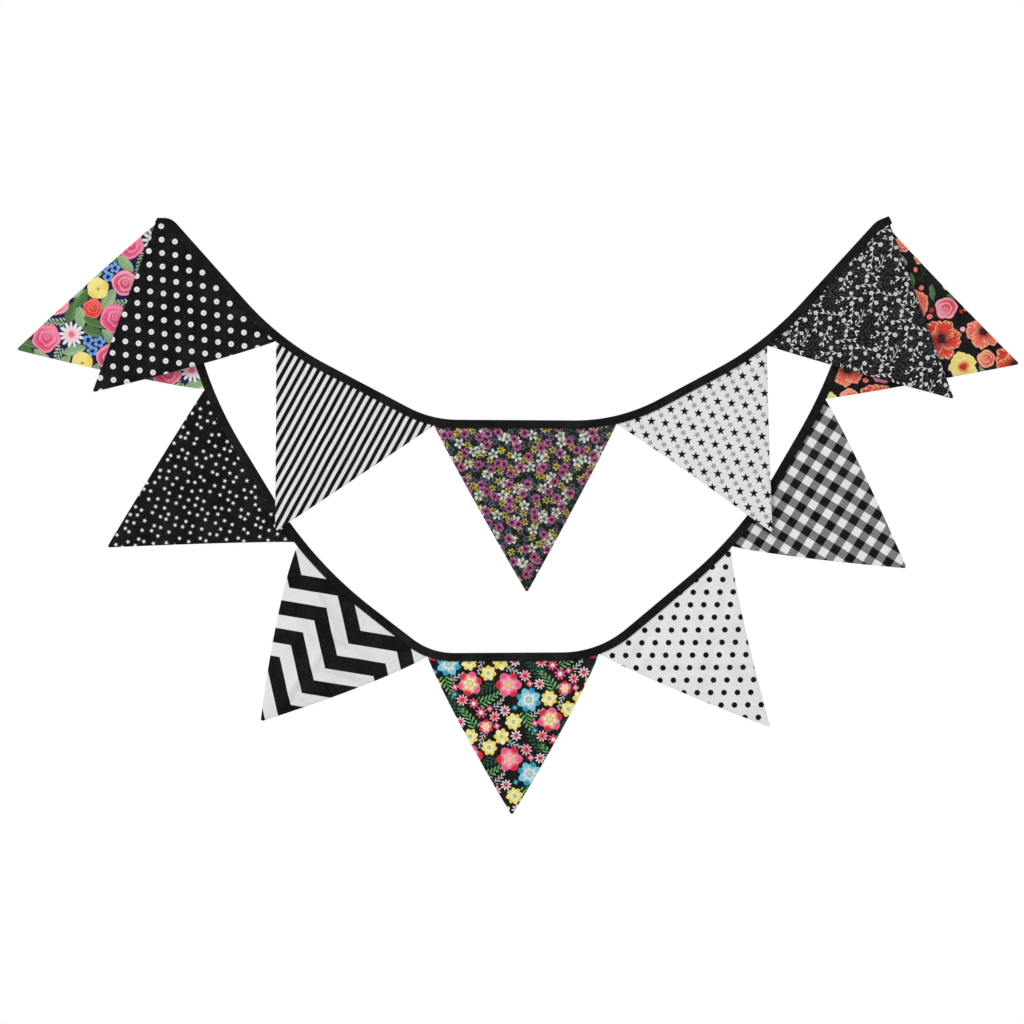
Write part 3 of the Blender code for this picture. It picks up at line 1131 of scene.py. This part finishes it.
def vermicelli(cloth, under, size, ink):
    """A faint, wandering line, as a roller fills a plain ground."""
    line = abs(speckle(cloth, 1 / size, 0.0) - 0.5)
    return paint(under, ink, cover(0.03 - line, 0.03))


print("motifs: sprig, berries, vermicelli")

# %% [markdown]
# ## Repeats
# A printer's roller brings every motif back after one repeat. `placed` wraps the flat cloth
# round one motif's middle, so that a motif may straddle the repeat's edge, and each column of
# repeats stands half a repeat higher than the one before, as printers do it to hide the rows.
# `by_hand` pushes the places about a little, as a brush would. `charted` paints a whole chart of
# motifs in order. `latticed` is for a motif on slanting rows. `scattered` gives each cell of a
# square net its own shift and turn from white noise, for tossed little prints.

# %% Place motifs on a repeat
def placed(cloth, middle, repeat, turn):
    away = moves("SUBTRACT", cloth, (middle[0], middle[1], 0))
    column = sums("ROUND", moves("DOT_PRODUCT", away, (1 / repeat[0], 0, 0)))
    rise = step("CombineXYZ")
    join(column * (-repeat[1] / 2), rise.inputs["Y"])
    away = moves("ADD", away, Flow(rise.outputs[0]))
    half = (repeat[0] / 2, repeat[1] / 2, 1)
    near = moves("WRAP", away, half, tuple(-c for c in half))
    return turned(near, radians(-turn)) if turn else near


def spread(value, width):
    """A value from 0 to 1 as a place, up to half the width away from the middle."""
    return moves("MULTIPLY_ADD", value, (width, width, 0), (-width / 2, -width / 2, 0))


def by_hand(cloth, amount, size=11):
    """The cloth's places pushed about by soft noise, so that a motif looks painted by hand."""
    push = step("TexNoise", Vector=cloth, Scale=1 / size, Detail=1.5).outputs["Color"]
    return moves("ADD", cloth, spread(Flow(push), amount))


def alike(motif, rows, *rest):
    """Chart rows for one motif, which end alike: each is its place, its turn and what differs."""
    return [(motif, *row, *rest) for row in rows]


def charted(cloth, ground, repeat, chart):
    colour = ground
    for motif, across, up, turn, size, *inks in chart:
        colour = motif(placed(cloth, (across, up), repeat, turn), colour, size, *inks)
    return colour


def latticed(cloth, start, first, second, turn=0):
    """The place measured from the nearest crossing of a slanting lattice of two steps."""
    size = first[0] * second[1] - first[1] * second[0]
    away = moves("SUBTRACT", cloth, (start[0], start[1], 0))
    i = moves("DOT_PRODUCT", away, (second[1] / size, -second[0] / size, 0))
    j = moves("DOT_PRODUCT", away, (-first[1] / size, first[0] / size, 0))
    i = sums("WRAP", i, 0.5, -0.5)
    j = sums("WRAP", j, 0.5, -0.5)
    node = step("CombineXYZ", X=i * first[0] + j * second[0], Y=i * first[1] + j * second[1])
    return turned(Flow(node.outputs[0]), radians(-turn))


def scattered(cloth, pitch, jitter, turn, seed):
    """The place measured from a tossed motif: each cell shifts and turns its own."""
    net = moves("MULTIPLY", turned(cloth, radians(turn)), (1 / pitch, 1 / pitch, 0))
    net = moves("ADD", net, (seed * 0.37, seed * 0.61, seed))
    cell = moves("FLOOR", net)
    chance = step("TexWhiteNoise", Vector=cell)
    shift = spread(Flow(chance.outputs["Color"]), jitter)
    inside = spread(moves("FRACTION", net), pitch)
    return turned(moves("SUBTRACT", inside, shift), Flow(chance.outputs["Value"]) * (2 * pi))


PRINTS = {}
print("ready to print")

# %% [markdown]
# ## Dots and stars
# The two dotted cottons and the two starred ones are stock prints. Their dots and stars lie on
# slanting rows; the small white stars on black are tossed. A dot's white ink lies a little thin
# in its middle.

# %% Print the dots and stars
def dots_on_black(cloth):
    place = latticed(cloth, (2.0, -62.9), (11.09, -10.46), (12.23, 8.92))
    return dot(place, dot(place, BLACK, 6.3, WHITE), 2.2, dye(192, 192, 194))


def dots_on_white(cloth):
    place = latticed(cloth, (-38.2, -48.0), (11.82, -9.41), (-11.45, -9.04))
    return dot(place, dye(230, 230, 232), 6.5, BLACK)


def stars_on_white(cloth):
    first, second = (12.84, -9.10), (-12.67, -10.88)
    black_stars = latticed(cloth, (17.6, -69.8), first, second, 62)
    pale_stars = latticed(cloth, (17.69, -79.79), first, second, 25)
    colour = star(pale_stars, dye(227, 227, 229), 8.0, dye(162, 162, 164), 0.5)
    return star(black_stars, colour, 11.0, BLACK)


def stars_on_black(cloth):
    return star(scattered(cloth, 10.1, 5.4, 57, 5), BLACK, 5.1, dye(240, 240, 242), 0.40)


PRINTS.update(dot_black=dots_on_black, dot_white=dots_on_white)
PRINTS.update(star_white=stars_on_white, star_black=stars_on_black)
print("prints:", sorted(PRINTS))

# %% [markdown]
# ## Stripes, checks and zigzags
# These three are ruled patterns. A stripe wraps the way across the cloth into one period and
# asks which half the point is in. Gingham is two such stripes woven through each other, so it
# has white, black, and a mixed grey in which the two threads show as fine slanting lines. In
# the zigzag a ping-pong wave lifts each band.

# %% Print the ruled patterns
def stripes(cloth):
    x, y = split(cloth)
    waver = speckle(cloth, 0.022, 1.0) * 2.4 - 1.2
    place = sums("WRAP", x + waver * 0.5 + y * -0.010 + 5.2, 4.22, -4.22)
    return paint(BLACK, WHITE, cover(2.0 - abs(place)))


def gingham(cloth):
    x, y = split(turned(cloth, radians(-0.4)))
    warp = cover(4.8 - abs(sums("WRAP", x + 29.65, 9.8, -9.8)))
    weft = cover(4.75 - abs(sums("WRAP", y + 32.24, 9.7, -9.7)))
    hatch = cover(sums("SINE", (x + y) * 3.1), 1.6)
    mixed = paint(dye(90, 90, 93), dye(150, 150, 153), hatch)
    colour = paint(BLACK, mixed, sums("MAXIMUM", warp, weft))
    return paint(colour, dye(232, 232, 234), warp * weft)


def zigzag(cloth):
    period, rise, pair = 92.1, 30.9, 38.4
    x, y = split(turned(cloth, radians(2.95)))
    lift = sums("PINGPONG", x + 24.65, period / 2) * (2 * rise / period)
    band = sums("WRAP", y + lift + 14.46 - pair * 0.26, pair / 2, -pair / 2)
    return paint(WHITE, BLACK, cover(pair * 0.26 - abs(band)))


PRINTS.update(stripe=stripes, gingham=gingham, chevron=zigzag)
print("prints:", sorted(PRINTS))

# %% [markdown]
# ## A ditsy print and a vine print
# A ditsy is a dense toss of tiny flowers in a few inks. It is printed in layers, smallest and
# darkest first, each on nets of their own pitch and turn, so that no rows show. The vine is a
# chart of bending sprigs with little flowers, a spray of buds and berries, in white on black
# over faint grey curls.

# %% Print the small floral and the vine
def small_floral(cloth):
    cloth = by_hand(cloth, 1.2, 5)
    ground = paint(dye(20, 23, 23), dye(50, 56, 58), cover(speckle(cloth, 0.3) - 0.58, 0.1))
    green_inks = dye(62, 90, 80), dye(32, 50, 46)
    colour = leaf(scattered(cloth, 7.0, 3.0, 12, 1), ground, 6.0, 2.8, *green_inks)
    grey_inks = dye(88, 88, 106), dye(54, 56, 68), dye(30, 32, 38)
    colour = blossom(scattered(cloth, 11.0, 5.0, 55, 2), colour, 7.4, 5, *grey_inks)
    shading = cover(speckle(cloth, 0.35) - 0.5, 0.14)
    yellow = paint(dye(150, 132, 52), dye(200, 198, 82), shading)
    white = paint(dye(166, 174, 160), dye(226, 226, 222), shading)
    mauve = paint(dye(134, 62, 104), dye(188, 112, 152), shading)
    yellow_inks = yellow, dye(150, 122, 44), dye(80, 60, 24)
    white_inks = white, dye(120, 132, 114), dye(80, 82, 44)
    mauve_inks = mauve, dye(112, 42, 78), dye(56, 18, 36)
    flowers = (
        (16.5, 33, 3, 8.0, 8.7, 6, *yellow_inks, 0.78, 0.12),
        (24.0, 70, 8, 8.0, 8.7, 6, *yellow_inks, 0.78, 0.12),
        (22.0, 18, 4, 11.0, 12.2, 5, *white_inks, 0.74, 0.1),
        (31.0, 64, 9, 11.0, 12.2, 5, *white_inks, 0.74, 0.1),
        (21.0, 40, 6, 10.5, 10.9, 9, *mauve_inks, 0.36, 0.13),
        (29.0, 8, 7, 10.5, 10.9, 9, *mauve_inks, 0.36, 0.13),
    )
    for pitch, turn, seed, room, size, *looks, notch, heart_share in flowers:
        place = scattered(cloth, pitch, pitch - room, turn, seed)
        colour = blossom(place, colour, size, *looks, notch, None, heart_share)
    return colour


GREY_INK = dye(178, 178, 180)
SPRIGS = (
    (43.7, 44.0, -116, 17, 0.030, 5.2),
    (13.5, 19.2, 101, 17, 0.032, 5.4),
    (26.5, 48.5, 172, 17, 0.028, 5.4),
    (27.8, 16.2, -110, 17, -0.032, 5.2),
    (46.2, 51.5, 155, 17, -0.030, 5.4),
    (3.5, 23.1, -112, 17, -0.030, 5.2),
    (21.3, 31.7, -11, 17, -0.028, 5.0),
)
BERRIES = ((21.4, 40.5, 119), (24.3, 22.7, 176), (54.4, 6.3, 74), (53.0, 49.8, 121))
BUDS = ((51.0, 55.1, 0), (37.1, 46.6, 0), (57.2, 52.4, 0), (13.3, 39.3, 0), (28.8, 41.9, 0))
VINE_CHART = (
    *alike(sprig, SPRIGS, WHITE, GREY_INK),
    (spray, 49.8, 30.3, -8, 17, 0.030, 3.4, 6.0, 2.0, WHITE),
    *alike(berries, BERRIES, 1.9, WHITE),
    *alike(dot, BUDS, 2.2, WHITE),
)


def vine(cloth):
    cloth = by_hand(cloth, 3.0, 10)
    ground = vermicelli(cloth, dye(18, 18, 20), 5, dye(70, 70, 74))
    return charted(cloth, ground, (60, 56), VINE_CHART)


PRINTS.update(small_floral=small_floral, vine=vine)
print("vine chart:", len(VINE_CHART), "motifs")

# %% [markdown]
# ## Three bright florals
# Each of these is a chart of big flowers, small flowers and leaves on a dark ground, painted
# from the back layer to the front one. The layouts are this lesson's own; the colours and the
# size of the flowers are those that suit such a row of bunting.

# %% Chart the folk flowers
PINK, ROSE_RED, PALE_PINK = dye(226, 104, 142), dye(212, 50, 84), dye(240, 178, 188)
HOT_PINK, SCARLET = dye(230, 92, 136), dye(214, 38, 66)
TURQUOISE, AQUA = dye(30, 158, 190), dye(110, 200, 220)
YELLOW, CREAM, OCHRE = dye(230, 208, 88), dye(240, 236, 190), dye(190, 146, 44)
PALE_YELLOW = dye(238, 222, 136)
LEAF_GREEN, DARK_GREEN, TEAL = dye(112, 180, 108), dye(38, 88, 62), dye(34, 96, 110)
PALE_LEAF, MID_LEAF, MOSS = dye(166, 192, 150), dye(98, 138, 84), dye(48, 78, 44)
CORAL = dye(238, 120, 110)
NIGHT = dye(17, 17, 19)

FERN = (7.4, 5.2, 2.6)
TWIG = (4.0, 5.0, 1.5, WHITE, 1.3)
BLUE_INKS = (TEAL, TURQUOISE, AQUA)
PINK_INKS = (PINK, ROSE_RED, CREAM)
HOT_INKS = (HOT_PINK, SCARLET, CREAM)
SUN_INKS = (YELLOW, PALE_YELLOW, CREAM, MID_LEAF)

FOLK_CHART = (
    (frond, 12.7, 18.4, -81, 25, 0.010, *FERN, LEAF_GREEN),
    (frond, 32.2, 61.9, 146, 25, -0.010, *FERN, DARK_GREEN),
    (frond, 45.5, 45.7, 111, 25, 0.012, *FERN, LEAF_GREEN),
    (frond, 67.4, 10.6, -140, 25, -0.012, *FERN, DARK_GREEN),
    (frond, 52.8, 73.0, 15, 25, 0.010, *FERN, LEAF_GREEN),
    (frond, 55.7, 37.5, -119, 16, 0.010, *TWIG),
    (frond, 83.3, 27.9, -15, 16, -0.010, *TWIG),
    (frond, 68.2, 67.3, 37, 16, 0.012, *TWIG),
    (frond, 20.2, 14.2, 43, 16, -0.012, *TWIG),
    (blossom, 23.1, 83.2, 0, 7.6, 4, *BLUE_INKS),
    (blossom, 18.6, 51.8, 0, 7.6, 4, *PINK_INKS),
    (blossom, 1.1, 24.8, 20, 7.2, 4, *BLUE_INKS),
    (blossom, 23.6, 7.0, 20, 7.6, 4, *PINK_INKS),
    (blossom, 70.3, 46.5, 10, 7.6, 4, *HOT_INKS),
    (blossom, 62.8, 66.2, 0, 7.0, 4, *HOT_INKS),
    (blossom, 31.8, 76.7, 0, 13.6, 9, PALE_PINK, SCARLET, SCARLET, 0.72),
    (blossom, 80.0, 63.8, 12, 13.0, 9, WHITE, CORAL, SCARLET, 0.72),
    (blossom, 53.0, 62.2, 25, 13.4, 8, HOT_PINK, SCARLET, WHITE, 0.72),
    (blossom, 68.3, 57.3, 25, 12.4, 8, PALE_PINK, CORAL, SCARLET, 0.72),
    (blossom, 29.5, 51.5, 10, 12.8, 9, WHITE, HOT_PINK, SCARLET, 0.72),
    (blossom, 44.6, 72.6, 0, 12.4, 8, *HOT_INKS, 0.72),
    (blossom, 13.4, 61.0, 30, 13.6, 9, PALE_PINK, HOT_PINK, SCARLET, 0.72),
    (blossom, 2.3, 77.7, 5, 12.6, 8, WHITE, HOT_PINK, SCARLET, 0.72),
    (double_bloom, 89.5, 51.2, 10, 19.0, 8, *SUN_INKS),
    (double_bloom, 61.6, 22.6, 40, 18.0, 7, *SUN_INKS),
    (double_bloom, 40.0, 35.0, 60, 18.5, 8, PALE_YELLOW, YELLOW, CREAM, MID_LEAF),
    (double_bloom, 75.7, 34.6, 25, 18.0, 7, YELLOW, CREAM, PALE_YELLOW, MID_LEAF),
    (double_bloom, 58.2, 46.1, 30, 16.5, 6, SCARLET, HOT_PINK, CREAM, YELLOW),
    (double_bloom, 84.5, 9.0, 0, 29.5, 6, SCARLET, HOT_PINK, PALE_PINK, YELLOW),
    (double_bloom, 16.9, 33.8, 25, 28.0, 8, TURQUOISE, AQUA, WHITE, LEAF_GREEN),
    (double_bloom, 40.8, 11.1, 15, 28.0, 6, *HOT_INKS, YELLOW),
)


def bright_floral(cloth):
    return charted(by_hand(cloth, 2.0), NIGHT, (90, 84), FOLK_CHART)


PRINTS.update(bright_floral=bright_floral)
print("folk chart:", len(FOLK_CHART), "motifs")

# %% [markdown]
# The rose chart and the poppy chart have fewer, larger motifs, as painted furnishing prints do.

# %% Chart the roses and the poppies
NAVY = dye(26, 28, 72)
DEEP_PINK, SOFT_PINK = dye(206, 44, 92), dye(240, 150, 172)
RED, ORANGE_RED, PLUM = dye(196, 38, 40), dye(222, 78, 56), dye(66, 20, 36)

SKY, BLUE = dye(120, 166, 222), dye(66, 112, 190)
PEACH = dye(244, 190, 146)

LEAFLETS = (22, 0.01, 5.6, 4.2, 2.8, PALE_LEAF)
PALE_INKS = (PALE_LEAF, MID_LEAF)
DEEP_INKS = (MID_LEAF, MOSS)
SKY_FLOWERS = ((20.3, 62.8, 0, 13.2), (32.8, 64.6, 30, 13.2), (25.1, 74.9, 10, 12.6))

ROSE_CHART = (
    *alike(frond, ((20.0, 31.2, -51), (68.9, 1.8, -118)), *LEAFLETS),
    (leaf, 53.9, 22.7, -6, 28, 13, *PALE_INKS),
    (leaf, 10.9, 4.1, -132, 26, 12, *DEEP_INKS),
    (leaf, 11.5, 0.9, 28, 28, 12, *PALE_INKS),
    (leaf, 55.8, 18.2, 127, 26, 13, *DEEP_INKS),
    (leaf, 49.0, 18.5, -29, 28, 12, *DEEP_INKS),
    (leaf, 26.4, 59.0, -91, 28, 13, *PALE_INKS),
    (leaf, 18.9, 0.5, -126, 26, 12, *DEEP_INKS),
    (leaf, 47.7, 68.2, -47, 28, 13, *PALE_INKS),
    (leaf, 30.8, 38.6, -63, 28, 13, *PALE_INKS),
    *alike(blossom, SKY_FLOWERS, 5, SKY, BLUE, NAVY, 0.3),
    (blossom, 8.3, 46.6, 0, 29, 13, WHITE, PALE_PINK, PINK, 0.5, None, 0.09),
    (blossom, 42.4, 49.5, 20, 25, 5, YELLOW, PALE_YELLOW, OCHRE, 0.08, PALE_YELLOW, 0.05),
    (rose, 4.1, 18.2, 40, 32, SOFT_PINK, PINK, DEEP_PINK),
    (rose, 44.9, 0.7, 10, 29, PALE_PINK, PINK, DEEP_PINK),
    (rose, 62.2, 38.0, 70, 22, CORAL, ORANGE_RED, RED),
)
POPPY_CHART = (
    (spray, 57.0, 33.0, -20, 22, 0.012, 5, 8.5, 0.3, MOSS),
    (spray, 24.0, 2.0, 60, 20, -0.012, 5, 8.5, 0.3, MOSS),
    (leaf, 44.5, 35.1, 29, 22, 7, *DEEP_INKS),
    (leaf, 52.2, 87.4, -81, 22, 7, *DEEP_INKS),
    (leaf, 70.3, 56.8, 164, 22, 6, *DEEP_INKS),
    (leaf, 79.7, 69.4, -121, 22, 7, PALE_LEAF, MOSS),
    (leaf, 40.4, 9.5, 28, 20, 6, *DEEP_INKS),
    (leaf, 59.8, 54.6, -172, 20, 6, *DEEP_INKS),
    (dot, 50.0, 27.7, 0, 5.6, CORAL),
    (dot, 39.4, 64.3, 0, 4.8, RED),
    (dot, 21.4, 56.4, 0, 5.6, PALE_PINK),
    (dot, 67.5, 40.9, 0, 5.0, CORAL),
    (dot, 22.1, 8.4, 0, 5.6, CORAL),
    (dot, 29.5, 8.8, 0, 5.0, RED),
    (dot, 44.5, 60.0, 0, 5.2, CORAL),
    (rose, 37.5, 81.9, 60, 25, PALE_PINK, PINK, RED),
    (rose, 90.8, 63.9, 0, 20, PEACH, CORAL, RED),
    (poppy, 73.4, 85.3, 32, 35, PALE_YELLOW, YELLOW, RED, CREAM),
    (poppy, 3.1, 75.1, 65, 47, ORANGE_RED, RED, PLUM, PEACH),
    (poppy, 26.8, 32.3, -47, 42, CORAL, ORANGE_RED, PLUM, PEACH),
)


def navy_floral(cloth):
    cloth = moves("ADD", cloth, (11.5, 14, 0))
    return charted(by_hand(cloth, 4.0), NAVY, (76, 80), ROSE_CHART)


def poppies(cloth):
    return charted(by_hand(cloth, 5.0), NIGHT, (92, 88), POPPY_CHART)


PRINTS.update(navy_floral=navy_floral, poppy=poppies)
print("rose chart:", len(ROSE_CHART), "motifs, poppy chart:", len(POPPY_CHART))

# %% [markdown]
# ## Print the cloth
# Every pennant gets its own material: its print over the flat cloth, then the weave.

# %% Print every pennant
for name, print_ink in PRINTS.items():
    printed = start_material(name + "_print")
    cloth = flat_cloth()
    finish_cloth(printed, cloth, print_ink(cloth), plain_weave(cloth))
    pennants[name].data.materials.append(printed)
    print(name, "has", len(printed.node_tree.nodes), "nodes")

# %% [markdown]
# ## The studio
# The row hangs in front of plain white paper in soft, nearly shadowless light, and the camera
# looks straight at it. A white world gives the even light. One large lamp high on the left
# models the folds and drops a thin shadow behind the front swag.

# %% Light the row
VIEW_MIDDLE = (0.3961, -0.3294)
LAMP_POWER = 190
LAMP_SIZE = 2.2
LAMP_PLACE = (-1.6, -3.4, 2.8)

world = bpy.data.worlds.new("white_studio")
bpy.context.scene.world = world
world.use_nodes = True
background = world.node_tree.nodes["Background"]
background.inputs["Color"].default_value = (1, 1, 1, 1)
background.inputs["Strength"].default_value = 1.0
bpy.context.scene.view_settings.view_transform = "Standard"

lamp_data = bpy.data.lights.new("soft_lamp", "AREA")
lamp_data.shape = "DISK"
lamp_data.size = LAMP_SIZE
lamp_data.energy = LAMP_POWER
lamp = set_out("soft_lamp", lamp_data)
lamp.location = LAMP_PLACE
aim = Vector((VIEW_MIDDLE[0], 0, VIEW_MIDDLE[1])) - lamp.location
lamp.rotation_euler = aim.to_track_quat("-Z", "Y").to_euler()

print("lamp of", LAMP_POWER, "W and", LAMP_SIZE, "m")

# %% [markdown]
# The floor is plain and pale. The photograph shows no perspective, so the camera stands well
# away, with a lens whose frame is as wide as the photograph at the front swag.

# %% Floor and camera
PHOTO_WIDTH = 1.1571
CAMERA_AWAY = 3.0
SENSOR = 36
FLOOR_UP = -1.05
FLOOR_SIDES = (3.4, 1.9)
FLOOR_BACK = 0.6

floor_place = Matrix.Translation((VIEW_MIDDLE[0], FLOOR_BACK - FLOOR_SIDES[1], FLOOR_UP))
floor_size = Matrix.Diagonal((*FLOOR_SIDES, 1, 1))
floor_sheet = bmesh.new()
bmesh.ops.create_grid(
    floor_sheet, x_segments=1, y_segments=1, size=1, matrix=floor_place @ floor_size
)
floor_mesh = bpy.data.meshes.new("pale_floor")
floor_sheet.to_mesh(floor_mesh)
floor_sheet.free()
pale_floor = set_out("pale_floor", floor_mesh)
floor_finish = start_material("pale_paper")
floor_shader = floor_finish.node_tree.nodes["Principled BSDF"]
floor_shader.inputs["Base Color"].default_value = (0.86, 0.86, 0.86, 1)
floor_shader.inputs["Roughness"].default_value = 1.0
floor_shader.inputs["Specular IOR Level"].default_value = 0.0
floor_mesh.materials.append(floor_finish)

camera_data = bpy.data.cameras.new("camera")
camera_data.sensor_width = SENSOR
camera_data.lens = SENSOR * CAMERA_AWAY / PHOTO_WIDTH
camera = set_out("camera", camera_data)
camera.location = (VIEW_MIDDLE[0], -FRONT_DEPTH - CAMERA_AWAY, VIEW_MIDDLE[1])
camera.rotation_euler = (pi / 2, 0, 0)
bpy.context.scene.camera = camera
print("lens", round(camera_data.lens, 1), "mm")
